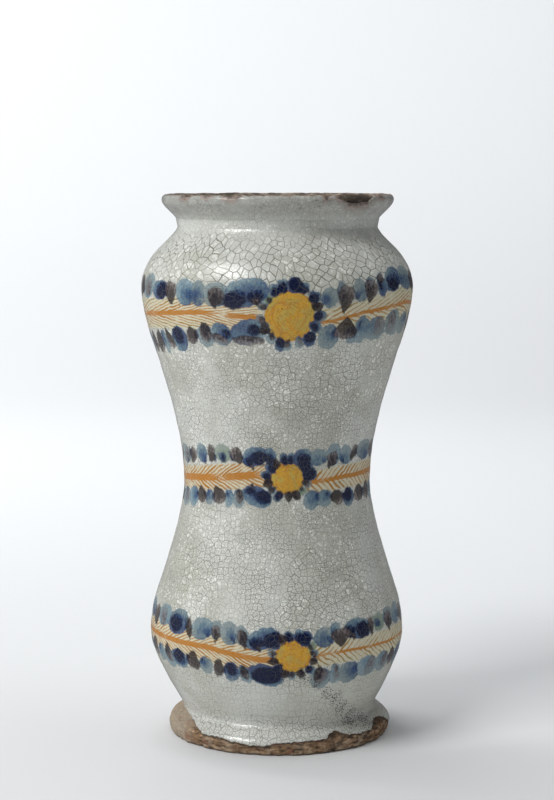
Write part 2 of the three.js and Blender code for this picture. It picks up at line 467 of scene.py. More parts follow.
# Painted contact shadow: the lowest millimetre or two of the foot is darkened with the dark soil colour
# where it stands on the floor.
painted_contact_shadow = fade(height, 1.7, 0.4)
colour = laid(painted_contact_shadow * 0.7, colour, DARK_SOIL_AND_SHADE)
up_at_the_lip = fade(height, 262.0, 270.0)
colour = laid(up_at_the_lip * 0.8, colour, laid(fade(mottled, 0.44, 0.6), SOILED_LIP, WORN_LIP))
soil = fade(soiled + clouds(place, 1.8, 4.0) * 0.9, 0.7, 1.15)
colour = laid(soil * 0.7, colour, DARK_SOIL_AND_SHADE)
colour = laid(settled(place, 8.0, "Grains") * 0.6, colour, DARK_SOIL_AND_SHADE)
relief = clouds(place, 0.7, 3.0) * 0.6 + turned_lines + clouds(place, 3.0, 3.0) * 0.8
dress(shader, colour, 0.88, relief, 0.7, 0.3 * MM)
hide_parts("clay_body")
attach(clay, "root")

# The poured coat: a thinner glaze swilled round inside the jar and tipped out again. It has
# crazed all over, pooled on the floor, and stops short of the worn lip.
POURED_COAT = 0.8 * MM
POURED_SUNK = 0.2 * MM
POURED_STOP = 1.9 * MM
POURED_COLUMNS = 300
POURED_RINGS = 0.16 * MM
FLOOR_SWIRL = 0.22 * MM


def bare_mouth_r(z):
    """Radius of the clay inside the flared mouth, at a height above the neck."""
    neck_r = below(NECK * MM, CLAY_DEPTH + WALL)
    share = (z - NECK * MM) / (inner_start[1] - NECK * MM)
    return neck_r + share**2 * (inner_start[0] - neck_r)


face_top, back_top = HEIGHT - 3.2 * MM, HEIGHT - POURED_STOP
face_depth = CLAY_DEPTH + WALL + POURED_COAT
face_mouth_r = bare_mouth_r(face_top) - POURED_COAT
face = inside_section(face_depth, FLOOR + POURED_COAT, face_mouth_r, face_top, 12, 2.6)
back_depth = CLAY_DEPTH + WALL - POURED_SUNK
back_mouth_r = bare_mouth_r(back_top) + POURED_SUNK
back = inside_section(back_depth, FLOOR - POURED_SUNK, back_mouth_r, back_top, 8, 8.0)
edge = curved(face[-1], face[-1] + (0.45 * MM, 1.3 * MM), back[-1], 3)[1:-1]
floor_r = np.linspace(0, FLOOR_FLAT_R, 12)[:-1]
poured_section = np.vstack([
    np.column_stack([floor_r, np.full(11, FLOOR + POURED_COAT)]),
    face,
    edge,
    back[::-1],
    np.column_stack([np.linspace(FLOOR_FLAT_R, 0, 6), np.full(6, FLOOR - POURED_SUNK)])[1:],
])
poured = thrown("poured_coat", poured_section, POURED_COLUMNS, closed=False)
angle, r, z = read_points(poured)
is_face = (r < below(z, back_depth + 0.5 * POURED_COAT)) & (z > FLOOR + 0.5 * POURED_COAT)
climbing = np.sin(TURN * z / (8.6 * MM) + angle) + 0.35 * np.sin(TURN * z / (5.1 * MM) - 2 * angle)
r = r + is_face * POURED_RINGS * climbing * reached(r, 20 * MM) * (z < 262 * MM)
swirl = FLOOR_SWIRL * np.sin(TURN * r / (11 * MM) - angle) * reached(r - 3 * MM, 9 * MM)
on_floor = reached(38 * MM - r, 10 * MM) * (z < FOOT_TOP)
z = z + is_face * on_floor * swirl
rim = reached(z - HEIGHT + 9 * MM, 6 * MM)
wave = rim * 0.3 * MM * ragged(angle, 21, 3, 60)
z = z + wave
r = r + wave * rim * 1.1
keep(poured, "worn", reached(z - HEIGHT + 4.2 * MM, 2.6 * MM))
set_points(poured, angle, r, z)


def highest(first, *others):
    """The highest of some numbers."""
    return calc("MAXIMUM", first, highest(*others)) if others else first


def moved(spot, by):
    """A spot, moved by another one."""
    return wired(spot.tree, "ShaderNodeVectorMath", {0: spot, 1: by}, operation="ADD")


def cells(place, scale, output=0, unevenness=1.0, feature="F1", dimensions="3D"):
    """Uneven cells, so many to a millimetre: the distance to each one's middle, or its colour."""
    sockets = {"Vector": place, "Scale": scale, "Randomness": unevenness}
    settings = {"feature": feature, "voronoi_dimensions": dimensions}
    return wired(place.tree, "ShaderNodeTexVoronoi", sockets, output, **settings)


def crack_net(dimensions, at, size, width, unevenness):
    """Lines between cells of about a size, and a colour for each cell."""
    scale = 1 / size
    away = cells(at, scale, "Distance", unevenness, "DISTANCE_TO_EDGE", dimensions) * size
    line = fade(away, width * 1.7, width * 0.5)
    return line, cells(at, scale, "Color", unevenness, "F1", dimensions)


# Crazing: a first net of wide cells, and finer cracks that stop where they meet it. One kind lies
# in space, for the inside, and one is flat, for the side of the jar as if it were unrolled.
SWAY_MM = 1.7
FINER_BY = 2.3


def crazing_effect(name, dimensions):
    """A node group for one kind of crazing."""
    takes = ("Cell Size", "Crack Width", "Unevenness")
    effect, taken, given = new_effect(name, takes, ("Crack", "Fine Crack", "Tone"))
    at, size, width, uneven = taken
    wandering = {"Vector": at, "Scale": 0.22, "Detail": 1.0}
    swayed = moved(at, scaled(wired(effect, "ShaderNodeTexNoise", wandering, "Color"), SWAY_MM))
    half_width = width * 0.5
    wide_line, wide_cell = crack_net(dimensions, swayed, size, half_width, uneven)
    shifted = moved(swayed, scaled(wide_cell, 60.0))
    fine_line, fine_cell = crack_net(dimensions, shifted, size / FINER_BY, half_width * 0.8, uneven)
    join(wide_line, given["Crack"])
    join(fine_line, given["Fine Crack"])
    join(parts(fine_cell)[0], given["Tone"])
    return effect


def crazed(effect, place, cell_size, crack_width, unevenness=0.86, fine_share=0.6):
    """One net of crazing on a finish: both kinds of crack as one mask, and each cell's tone."""
    sockets = {"Place": place, "Cell Size": cell_size, "Crack Width": crack_width}
    sockets["Unevenness"] = unevenness
    crack = wired(place.tree, "ShaderNodeGroup", sockets, "Crack", node_tree=effect)
    return highest(crack, crack.also("Fine Crack") * fine_share), crack.also("Tone")


crazing_in_space = crazing_effect("crazing_in_space", "3D")
crazing_unrolled = crazing_effect("crazing_unrolled", "2D")

INSIDE_GLAZE = (0.52, 0.51, 0.44, 1)
POOLED_GLAZE = (0.42, 0.41, 0.32, 1)
PALE_CELL = (0.62, 0.61, 0.54, 1)
CRACK_STAIN = (0.175, 0.172, 0.135, 1)
OLD_DUST = (0.30, 0.26, 0.19, 1)
BARE_EDGE = (0.13, 0.105, 0.085, 1)

tree, shader = new_finish(poured, "poured_glaze")
place = in_millimetres(tree)
runs = clouds(stretched(place, 1.0, 1.0, 0.12), 6.0, 2.0)
colour = laid(fade(runs, 0.4, 0.7), INSIDE_GLAZE, POOLED_GLAZE)
pooled = fade(parts(place)[2], 60.0, 10.0)
colour = laid(pooled * 0.7, colour, POOLED_GLAZE)
cracks, tones = crazed(crazing_in_space, place, 6.0, 0.2)
colour = laid(fade(tones, 0.6, 0.9) * 0.25, colour, PALE_CELL)
colour = laid(cracks * 0.62, colour, CRACK_STAIN)
dust = settled(place, 26.0, "Amount") * (pooled * 0.5 + 0.2)
colour = laid(dust, colour, OLD_DUST)
wear_noise = stored(tree, "worn") + clouds(place, 2.4, 4.0) * 0.8
colour = laid(fade(wear_noise, 1.1, 1.35), colour, BARE_EDGE)
roughness = dust * 0.5 + cracks * 0.2 + 0.22
relief = clouds(place, 7.0, 1.0) * 0.8 - cracks
dress(shader, colour, roughness, relief, 0.5, 0.12 * MM)
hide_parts("inner_glaze")
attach(poured, "root")

# The painted coat: opaque tin glaze that the jar was dipped in, with three garlands brushed
# on the raw glaze in cobalt, manganese, copper and iron before the last firing. It ends in a
# rounded, ragged edge above the foot and under the lip.
COAT_COLUMNS = 420
COAT_BACK_DEPTH = 0.9 * MM
FOOT_START = 5.5 * MM
LIP_END = HEIGHT - 0.8 * MM
EDGE_ROUNDING = 1.2 * MM
EDGE_ROWS = (0.0, 0.08, 0.3, 0.62)
FINE_ZONES = ((5, 20), (31, 77), (117, 162), (195, 248), (256, 280))

heights = rows(FOOT_START + EDGE_ROUNDING, LIP_END - EDGE_ROUNDING, 1.25, 3.2, FINE_ZONES)
rounding = []
for up in EDGE_ROWS:
    rounding.append((EDGE_ROUNDING * up, CLAY_DEPTH * (1 - math.sqrt(1 - (1 - up) ** 2))))
face = [(FOOT_START + up, depth) for up, depth in rounding]
face += [(z, 0.0) for z in heights]
face += [(LIP_END - up, depth) for up, depth in reversed(rounding)]
hidden = rows(FOOT_START, LIP_END, 6.0, 8.0)[::-1]
coat_section = [(below(z, depth), z) for z, depth in face]
coat_section += [(below(z, COAT_BACK_DEPTH), z) for z in hidden]
coat = thrown("painted_coat", coat_section, COAT_COLUMNS, closed=True)

angle, r, z = read_points(coat)
side_r, slope = outline(z)
depth = (side_r - r) / np.hypot(1, slope)
foot_edge = glaze_edge(angle, GLAZE_FOOT, 3)
lip_edge = glaze_edge(angle, GLAZE_LIP, 5)
foot_pull = (1 - reached(z - FOOT_START, 16 * MM)) ** 2
lip_pull = (1 - reached(LIP_END - z, 9 * MM)) ** 2
z = z + (foot_edge - FOOT_START) * foot_pull + (lip_edge - LIP_END) * lip_pull
r = below(z, depth)
from_edge = np.minimum(z - foot_edge, lip_edge - z)

# Each garland: a flower at the front and one behind, ears of wheat between them, and a row of
# brush dabs along each side. Angles are in degrees from the front, lengths in millimetres.
# A dab is its kind and its width, told outwards from the front flower; a ring is told
# clockwise from the top. Barbs: how far one runs along the ear for each millimetre that it
# gets away from the stem, how far apart they leave it, and how thick they are. Inked: how much
# paint the ear took.
GARLANDS = (
    {
        "flower": (5.2, 221.8, 12.8, 12.8),
        "ring": "ObodobOgmomdmmnoo",
        "stem": (
            (-77, 219.6), (-33, 223.0), (-8, 220.8), (21, 218.5), (39, 222.7), (68, 225.9),
            (140, 221.0),
        ),
        "ear": ((-85, 7.5), (-20, 8.5), (30, 6.5), (60, 8.5), (150, 8.0)),
        "barbs": (5.5, 6.6, 1.85),
        "inked": ((-80, 1.0), (0, 1.0), (30, 0.9), (150, 1.0)),
        "top": ((-80, 234.8), (-20, 232.0), (20, 230.5), (45, 235.0), (62, 239.0), (110, 234.0)),
        "bottom": ((-67, 204.6), (-40, 210.5), (-15, 213.4), (20, 211.0), (61, 216.0), (120, 208.5)),
        "tall": 12.5,
        "dabs": {
            ("top", -1, 12.5): "B19 m11 l7 l11 s8 b11 g16",
            ("top", 1, 15.5): "l9 p8 l8 p8 c6 b13 l16",
            ("bottom", -1, 13.0): "c16 c11 m9 s9 b10 s6 l6 s9",
            ("bottom", 1, 15.5): "l10 p10 l8 g14 g14 l14",
        },
    },
    {
        "flower": (6.5, 139.6, 9.1, 8.4),
        "ring": "boOOmnddomdobdo",
        "stem": (
            (-73, 135.6), (-33, 139.0), (-8, 141.6), (22, 137.1), (41, 138.4), (72, 138.8),
            (150, 138.0),
        ),
        "ear": ((-85, 5.5), (-25, 7.0), (25, 6.0), (60, 6.5), (150, 6.5)),
        "barbs": (1.9, 3.1, 3.1),
        "inked": ((-80, 1.0), (0, 1.0), (30, 0.8), (150, 1.0)),
        "top": ((-75, 148.4), (-25, 151.5), (20, 149.5), (60, 151.0), (140, 150.0)),
        "bottom": ((-75, 125.6), (-35, 128.5), (-15, 129.8), (15, 127.5), (60, 128.5), (140, 127.0)),
        "tall": 10.5,
        "dabs": {
            ("top", -1, 6.5): "b5 B11 s7 t8 s6 l8 s8 g11",
            ("top", 1, 3.5): "b8 l8 m8 l8 s5 l14",
            ("bottom", -1, 10.0): "B12 m6 l5 s8 l5 s7 l8 g11",
            ("bottom", 1, 8.5): "l7 l8 s8 b8 s10",
        },
    },
    {
        "flower": (7.4, 53.0, 9.5, 8.7),
        "ring": "oOnmdodmdodmbdo",
        "stem": ((-73, 56.1), (-31.5, 55.7), (-6.5, 51.2), (20, 53.0), (34, 53.9), (61, 53.7), (150, 54.0)),
        "ear": ((-80, 6.5), (-25, 8.0), (25, 6.0), (60, 6.5), (150, 7.0)),
        "barbs": (2.4, 3.5, 2.2),
        "inked": ((-80, 1.0), (0, 1.0), (25, 0.6), (60, 0.4), (150, 0.9)),
        "top": ((-75, 66.8), (-30, 64.5), (-10, 61.5), (18, 61.5), (50, 66.0), (140, 65.0)),
        "bottom": ((-75, 47.6), (-30, 45.2), (-10, 43.2), (15, 40.8), (50, 43.5), (140, 44.0)),
        "tall": 11.0,
        "dabs": {
            ("top", -1, 7.0): "B16 m6 l8 m6 l12 s5 b14 g12",
            ("top", 1, 11.0): "l10 p8 B14 s5 t9 m10 l10",
            ("bottom", -1, 7.0): "O15 m6 b8 s7 l7 s9 b11 m9 l8",
            ("bottom", 1, 10.0): "m10 g6 l11 g14 g12",
        },
    },
)
BACK_DABS = "s9 l11 B12 m8 l9 g12 b10 p7 l10 t8"

# The strokes in each kind of dab: the pigment, how far aside and how far inwards from the dab's
# middle, the width and the height as shares of the dab's, the strength, and how pointed it is.
DABS = {
    "l": (("wash", 0.0, 0.0, 1.0, 1.0, 0.3, 0.0), ("cobalt", 0.22, 0.2, 0.3, 0.42, 0.1, 0.2)),
    "b": (("wash", 0.0, 0.0, 1.0, 1.0, 0.7, 0.0), ("cobalt", 0.06, 0.1, 0.72, 0.72, 0.75, 0.1)),
    "B": (
        ("wash", 0.0, 0.0, 1.0, 1.0, 0.65, 0.0),
        ("cobalt", 0.2, 0.12, 0.56, 0.74, 0.9, 0.1),
        ("cobalt", -0.24, 0.2, 0.4, 0.52, 0.8, 0.3),
        ("manganese", -0.2, 0.46, 0.14, 0.3, 0.5, 0.4),
    ),
    "g": (("wash", 0.0, 0.0, 1.0, 1.0, 0.15, 0.1), ("manganese", 0.1, 0.05, 0.5, 0.85, 0.0, 0.2)),
    "t": (("copper", 0.0, 0.0, 1.0, 0.9, 0.5, 0.0), ("cobalt", 0.1, 0.15, 0.5, 0.45, 0.3, 0.1)),
    "m": (
        ("wash", 0.0, -0.04, 1.0, 0.95, 0.25, 0.0),
        ("manganese", 0.0, 0.1, 0.7, 0.74, 0.5, 0.1),
        ("manganese", 0.1, 0.4, 0.22, 0.4, 0.7, 0.4),
    ),
    "s": (("manganese", 0.0, 0.1, 0.78, 0.88, 0.65, 0.3), ("cobalt", 0.36, 0.1, 0.3, 0.5, 0.35, 0.0)),
    "p": (("wash", 0.3, -0.1, 0.6, 0.7, 0.4, 0.0), ("manganese", 0.0, 0.2, 0.95, 1.0, 0.6, 0.75)),
    "c": (
        ("wash", 0.0, 0.0, 1.05, 1.0, 0.5, 0.0),
        ("manganese", 0.05, -0.28, 0.85, 0.4, 0.35, 0.0),
        ("cobalt", -0.2, 0.06, 0.4, 0.45, 0.7, 0.0),
    ),
    "O": (("wash", 0.0, 0.0, 1.08, 1.08, 0.9, 0.0), ("cobalt", 0.0, 0.02, 0.95, 0.95, 1.0, 0.0)),
    "o": (("wash", 0.0, -0.1, 1.0, 1.0, 0.7, 0.0), ("cobalt", 0.0, 0.06, 0.85, 0.85, 0.9, 0.0)),
    "d": (("manganese", 0.0, 0.0, 1.0, 1.1, 0.95, -0.3), ("cobalt", 0.2, 0.1, 0.6, 0.8, 0.9, 0.0)),
    "n": (("copper", 0.0, 0.0, 1.0, 1.0, 0.7, 0.0), ("manganese", 0.0, 0.2, 0.6, 0.5, 0.7, 0.0)),
}
RING_SIZES = {"O": 7.2, "o": 5.6, "b": 5.6}

hand = np.random.default_rng(28)
degrees = np.degrees(angle)
level = z / MM
blank = np.column_stack([np.full(len(z), -30.0), np.zeros(len(z)), np.zeros(len(z))])
layers = {name: blank.copy() for name in ("wash", "cobalt", "manganese", "copper", "ear", "flower")}
boldness = np.zeros(len(z))


def across(from_degrees, arm):
    """Distance along the band from an angle, positive to the right."""
    turn = (degrees - from_degrees + 180) % 360 - 180
    return np.radians(turn) * arm


def stroke(pigment, at, z_mid, arm, wide, tall, load, point, turn, tint):
    """One press of the brush: an oval, turned clockwise, that may narrow towards its inner end.
    The paint pools at that end, to one side and in the middle."""
    layer = layers[pigment]
    dx, dz = across(at, arm), level - z_mid
    tilt = math.radians(turn)
    x, y = dx * math.cos(tilt) - dz * math.sin(tilt), dx * math.sin(tilt) + dz * math.cos(tilt)
    along = y / (tall / 2)
    half = wide / 2 * (1 + point * np.clip(along, -1, 1))
    depth = (1 - np.hypot(x / np.maximum(half, 0.3), along)) * min(wide, tall) / 2
    twice_painted = np.clip(np.minimum(depth, layer[:, 0]) / 0.8, 0, 1)
    mine = depth > layer[:, 0]
    pooled = load + 0.3 * np.clip(hand.uniform(-1, 1) * x / (wide / 2) - along, -1.4, 1.4)
    pooled += 0.5 * np.clip(depth / (min(wide, tall) / 2), 0, 1) - 0.15
    layer[mine] = np.column_stack([depth, pooled, np.full(len(z), tint)])[mine]
    layer[:, 1] += 0.25 * twice_painted


def dab(kind, at, z_mid, arm, wide, tall, turn):
    """A dab of the border: its strokes, worked into each other while they were wet."""
    turn = turn + hand.uniform(-20, 20)
    side = hand.choice((-1, 1))
    tint = hand.uniform()
    tilt = math.radians(turn)
    for pigment, aside, inwards, share_wide, share_tall, load, point in DABS[kind]:
        x = (side * aside + hand.uniform(-0.05, 0.05)) * wide
        y = (hand.uniform(-0.05, 0.05) - inwards) * tall
        shift, rise = x * math.cos(tilt) + y * math.sin(tilt), y * math.cos(tilt) - x * math.sin(tilt)
        stroke(
            pigment,
            at + math.degrees(shift / arm),
            z_mid + rise,
            arm,
            wide * share_wide * hand.uniform(0.9, 1.1),
            tall * share_tall * hand.uniform(0.9, 1.1),
            load + hand.uniform(-0.12, 0.12),
            point,
            turn + hand.uniform(-14, 14),
            tint,
        )


for garland in GARLANDS:
    front, z_mid, half_wide, half_tall = garland["flower"]
    arm = float(outline(z_mid * MM)[0] / MM)
    half_turn = math.pi * arm
    for (row, way, start), visible in garland["dabs"].items():
        outwards = 0 if row == "top" else 180
        todo = visible.split()
        painted_to = start
        while painted_to < half_turn - half_wide - 4:
            if not todo:
                todo = BACK_DABS.split()
            word = todo.pop(0)
            kind, wide = word[0], float(word[1:])
            at = front + way * math.degrees((painted_to + wide / 2) / arm)
            row_z = np.interp(at, *zip(*garland[row]), period=360) + hand.uniform(-0.6, 0.6)
            tall = garland["tall"] * hand.uniform(0.85, 1.1)
            dab(kind, at, row_z, arm, wide * hand.uniform(1.1, 1.25), tall, outwards)
            painted_to += wide
    for middle in (front, front + 180):
        x, y = across(middle, arm), level - z_mid
        reach = np.hypot(x / half_wide, y / half_tall)
        petal = (1 - reach) * (half_wide + half_tall) / 2
        nearest = petal > layers["flower"][:, 0]
        layers["flower"][nearest] = np.column_stack([petal, x, y])[nearest]
        for count, letter in enumerate(garland["ring"]):
            size = RING_SIZES.get(letter, 5.0) * (1 if half_wide > 10 else 0.88)
            clock = TURN * (count + 0.5 + hand.uniform(-0.2, 0.2)) / len(garland["ring"])
            out = half_wide + 0.3 * size + hand.uniform(-0.4, 0.4)
            dot_at = middle + math.degrees(out * math.sin(clock) / arm)
            dot_z = z_mid + out * math.cos(clock) * half_tall / half_wide
            dab(letter, dot_at, dot_z, arm, size, size * hand.uniform(1.0, 1.25), math.degrees(clock))
    lean, pitch, thick = garland["barbs"]
    off = level - np.interp(degrees, *zip(*garland["stem"]), period=360)
    reach = np.interp(degrees, *zip(*garland["ear"]), period=360)
    behind = across(front + 180, arm)
    from_tip = (behind % half_turn) / half_turn
    leaning = lean * (0.45 + 0.75 * from_tip)
    phase = (behind - leaning * np.abs(off) ** 0.92) / pitch
    beside = np.minimum(np.abs(across(front, arm)), np.abs(behind)) - half_wide
    cover = np.minimum(reach - np.abs(off), beside)
    nearest = cover > layers["ear"][:, 0]
    layers["ear"][nearest] = np.column_stack([cover, phase, off])[nearest]
    inked = np.interp(degrees, *zip(*garland["inked"]), period=360)
    boldness[nearest] = (thick * inked * (0.55 + 0.6 * from_tip))[nearest]

# Places worn through to the clay near the edges, a patch of pits above the foot, and broad
# places where the crackle took up more stain. Each has its angle, its height and its reach.
# The wear has a half width in degrees instead of a height. MIDDLE_R is the jar's middling radius.
LIP_WEAR = (
    (42, 17, 6.5), (-52, 6, 4.5), (-36, 5, 3.5), (-22, 7, 4.5), (23.5, 2.5, 5.0), (60, 6, 5.0),
    (-100, 8, 4.0), (140, 9, 4.0),
)
PITTED = (
    (13, 41, 3.5), (19, 37, 3.5), (25, 32, 4.0), (31, 27, 4.5), (37, 21, 5.5), (45, 15, 7.0),
    (55, 12, 6.5),
)
STAINED = ((17, 178, 24), (-4, 157, 13), (18, 92, 27), (-150, 170, 22), (140, 96, 25), (-60, 90, 18))
MIDDLE_R = 55.0


def reaches_from(at, z_mid, reach):
    """How far each point is from a spot on the side, in reaches."""
    return np.hypot(across(at, MIDDLE_R), level - z_mid) / reach


worn = 0.7 * np.exp(-from_edge / (0.45 * MM))
for at, half_wide, reach in LIP_WEAR:
    beside = np.clip(1 - np.abs(across(at, 1.0)) / math.radians(half_wide), 0, 1)
    worn = np.maximum(worn, np.sqrt(beside) * (1 - reached(lip_edge - z, reach * MM)))
pitted = np.max([np.clip(1.0 - reaches_from(*patch), 0, 1) for patch in PITTED], axis=0)
stained = np.max([np.exp(-(reaches_from(*patch) ** 2)) for patch in STAINED], axis=0)

for name, values in layers.items():
    keep(coat, name, values)
keep(coat, "worn", np.clip(worn, 0, 1))
keep(coat, "pitted", pitted)
keep(coat, "stained", stained)
keep(coat, "bold", boldness)
set_points(coat, angle, r, z)

WHITE_GLAZE = (0.595, 0.605, 0.572, 1)
STAINED_GLAZE = (0.485, 0.49, 0.435, 1)
BRIGHT_CELL = (0.76, 0.77, 0.72, 1)
GROOVE_DIRT = (0.28, 0.28, 0.24, 1)
# Dark grey for the neck and lip band: the painted shade of the lip on the neck, with grime.
SHADED_AND_GRIMED_NECK_GLAZE = (0.20, 0.20, 0.18, 1)
LIP_DIRT = (0.13, 0.105, 0.08, 1)
OCHRE = (0.56, 0.30, 0.012, 1)
PALE_OCHRE = (0.47, 0.33, 0.045, 1)
BURNT_OCHRE = (0.22, 0.11, 0.012, 1)
ORANGE = (0.42, 0.14, 0.008, 1)
STEM_BROWN = (0.42, 0.165, 0.018, 1)
STRAW = (0.28, 0.21, 0.07, 1)
BARB_ORANGE = (0.36, 0.155, 0.02, 1)
EAR_CREAM = (0.59, 0.535, 0.36, 1)
PALE_COBALT = (0.10, 0.205, 0.275, 1)
GREY_COBALT = (0.115, 0.18, 0.21, 1)
COBALT = (0.016, 0.050, 0.145, 1)
DEEP_COBALT = (0.002, 0.006, 0.034, 1)
PALE_MANGANESE = (0.15, 0.12, 0.12, 1)
DEEP_MANGANESE = (0.018, 0.010, 0.014, 1)
COPPER_GREEN = (0.12, 0.19, 0.14, 1)
PIT_HAZE = (0.22, 0.23, 0.23, 1)
PIT_DIRT = (0.05, 0.045, 0.04, 1)
BROWN_STAIN = (0.30, 0.19, 0.155, 1)
GREY_STAIN = (0.20, 0.19, 0.17, 1)
WORN_CLAY = (0.16, 0.11, 0.09, 1)

tree, shader = new_finish(coat, "painted_tin_glaze")
place = in_millimetres(tree)
x, y, height = parts(place)
soft = clouds(place, 34.0, 3.0, 0.4)
stained_here = stored(tree, "stained")
cleaner = highest(fade(height, 248.0, 256.0), fade(height, 20.0, 14.0))
stain_share = fade(soft + stained_here * 0.14 - cleaner * 0.12, 0.40, 0.66)
colour = laid(stain_share, WHITE_GLAZE, STAINED_GLAZE)


def blend(share, none, full):
    """A number that goes from one value to another, as far as share says."""
    return wired(share.tree, "ShaderNodeMix", {0: share, 2: none, 3: full})


# The crazing is laid out from the front on one half of the jar and from the back on the other,
# and the halves meet along a crack. On the shoulder the cracks are broader and run at a slant.
UNROLLED_R = 58.0
BACK_SHIFT = 500.0
to_the_back = y * -1.0
from_front = calc("ARCTAN2", x, to_the_back) * UNROLLED_R
from_back = calc("ARCTAN2", x * -1.0, y) * UNROLLED_R + BACK_SHIFT
facing = (clouds(place, 32.0) - 0.5) * 28.0 + to_the_back
around = blend(calc("GREATER_THAN", facing, 0.0), from_back, from_front)
unrolled = wired(tree, "ShaderNodeCombineXYZ", {0: around, 1: height})
meeting = fade(calc("ABSOLUTE", facing), 0.3, 0.1)
drifted = moved(unrolled, scaled(clouds(place, 34.0, 1.0).also("Color"), 12.0))
turned = {"Vector": drifted, "Angle": 0.6}
slanted = wired(tree, "ShaderNodeVectorRotate", turned, rotation_type="Z_AXIS")
wide_net, wide_tone = crazed(crazing_unrolled, slanted, 3.5, 0.38, 0.7, 0.3)
middle_net, middle_tone = crazed(crazing_unrolled, unrolled, 3.4, 0.22, 0.86, 0.7)
fine_net, fine_tone = crazed(crazing_unrolled, unrolled, 2.4, 0.22, 0.86, 0.7)
finer = fade(clouds(stretched(place, 1.0, 1.0, 0.6), 26.0), 0.56, 0.42) * fade(height, 15.0, 24.0)
net = blend(finer, middle_net, fine_net * 0.9)
tone = blend(finer, middle_tone, fine_tone)
ragged_height = height + clouds(place, 18.0) * 24.0
shoulder = fade(ragged_height, 234.0, 248.0) * fade(ragged_height, 278.0, 270.0)
tones = blend(shoulder, tone, wide_tone)
bright = fade(tones, 0.58, 0.8) * fade(clouds(place, 12.0), 0.36, 0.60) * fade(height, 34.0, 62.0)
colour = laid(bright * 0.8, colour, BRIGHT_CELL)
low_flank = fade(ragged_height, 54.0, 40.0) * (1.0 - fade(height, 24.0, 15.0))
near_ends = highest(low_flank, fade(height, 254.0, 266.0))
crack_strength = fade(clouds(place, 13.0, 4.0), 0.3, 0.62) * 0.42 + 0.58
crack_strength = crack_strength * (1.0 - near_ends * 0.4) * (stained_here * 0.4 + 1.0)
cracks = highest(blend(shoulder, net, wide_net), meeting) * crack_strength
colour = laid(cracks, colour, CRACK_STAIN)

# Dirt in the throwing rings above the foot. From the neck up over the lip, painted shade where the lip
# shadows the neck, together with grime on the lip band.
grooves = clouds(stretched(place, 0.03, 0.03, 1.0), 1.8)
low_down = fade(height, 48.0, 30.0)
colour = laid(fade(grooves, 0.5, 0.66) * (low_down * 0.15), colour, GROOVE_DIRT)
# Painted shade and grime: the glaze turns darker grey from the neck's narrowest part up over the lip band.
lip_shadow_and_grime = fade(clouds(place, 5.0, 4.0), 0.3, 0.62) * 0.14 + 0.48
colour = laid(lip_shadow_and_grime * fade(height, 264.0, 272.0), colour, SHADED_AND_GRIMED_NECK_GLAZE)
lip_dirt = settled(place, 9.0, "Grains") * fade(height, 268.0, 277.0)
colour = laid(lip_dirt * 0.8, colour, LIP_DIRT)

bristle = clouds(stretched(place, 1.0, 1.0, 0.6), 1.2, 3.0)
wobble = (clouds(place, 2.4, 3.0) - 0.5) * 2.2


def brushed(name, bleed, streaks):
    """A pigment's mask with a brushed edge, how strong it lies there, and its own tint."""
    depth, load, tint = parts(stored(tree, name, "Vector"))
    inside = depth + wobble
    load = load + (bristle - 0.5) * streaks + fade(inside, 0.9, 0.2) * 0.2
    return fade(inside, -bleed, bleed), load, tint


# The ears: a stem, and barbs that leave it on both sides and lean the same way.
ear_depth, phase, off = parts(stored(tree, "ear", "Vector"))
bold = stored(tree, "bold")
away = calc("ABSOLUTE", off)
lopsided = calc("SIGN", off) * 0.2
barb_phase = phase + (clouds(place, 6.0, 3.0) - 0.5) * 1.5 + lopsided
which_barb = calc("ROUND", barb_phase) + lopsided * 1000.0
own = wired(tree, "ShaderNodeTexWhiteNoise", {"W": which_barb}, noise_dimensions="1D")
to_barb = calc("PINGPONG", barb_phase, 0.5) * 2.0 + own * 0.2
narrowed = to_barb + away * 0.025 - clouds(place, 3.0, 3.0) * 0.35
barbs = fade(narrowed - bold * 0.14, 0.32, 0.02)
ear_mask = fade(ear_depth + wobble, -0.5, 1.0)
colour = laid(ear_mask * 0.7, colour, EAR_CREAM)
olive = fade(away + clouds(place, 9.0) * 6.0 - bold * 3.0, 0.5, 6.0)
barb_ink = barbs * ear_mask * fade(clouds(place, 5.0), 0.2, 0.5) * fade(bold, 0.1, 0.7)
colour = laid(barb_ink * (1.0 - own * 0.35), colour, laid(olive, BARB_ORANGE, STRAW))
stem_edge = fade(away + wobble * 0.35 - bold * 0.45, 0.6, 0.1)
stem_ink = stem_edge * fade(ear_depth, 0.2, 1.0) * fade(clouds(place, 11.0), 0.2, 0.5)
colour = laid(stem_ink * 0.9, colour, STEM_BROWN)

# The flowers: ochre, worked round and outwards with a loaded brush, browner at the edge.
seed_depth, seed_x, seed_z = parts(stored(tree, "flower", "Vector"))
seed_mask = fade(seed_depth + wobble, -0.2, 0.5)
flat_seed = wired(tree, "ShaderNodeCombineXYZ", {0: seed_x, 1: seed_z})
seed_way = wired(tree, "ShaderNodeVectorMath", {0: flat_seed}, operation="NORMALIZE")
seed_r = wired(tree, "ShaderNodeVectorMath", {0: flat_seed}, "Value", operation="LENGTH")


def worked(round_the_flower, outwards, detail):
    """Brush marks in the flower, so many to a radian and so long in millimetres from its middle."""
    way = stretched(seed_way, round_the_flower, round_the_flower, 0.0)
    out = wired(tree, "ShaderNodeCombineXYZ", {2: seed_r / outwards})
    return clouds(moved(way, out), 1.0, detail, 1.6)


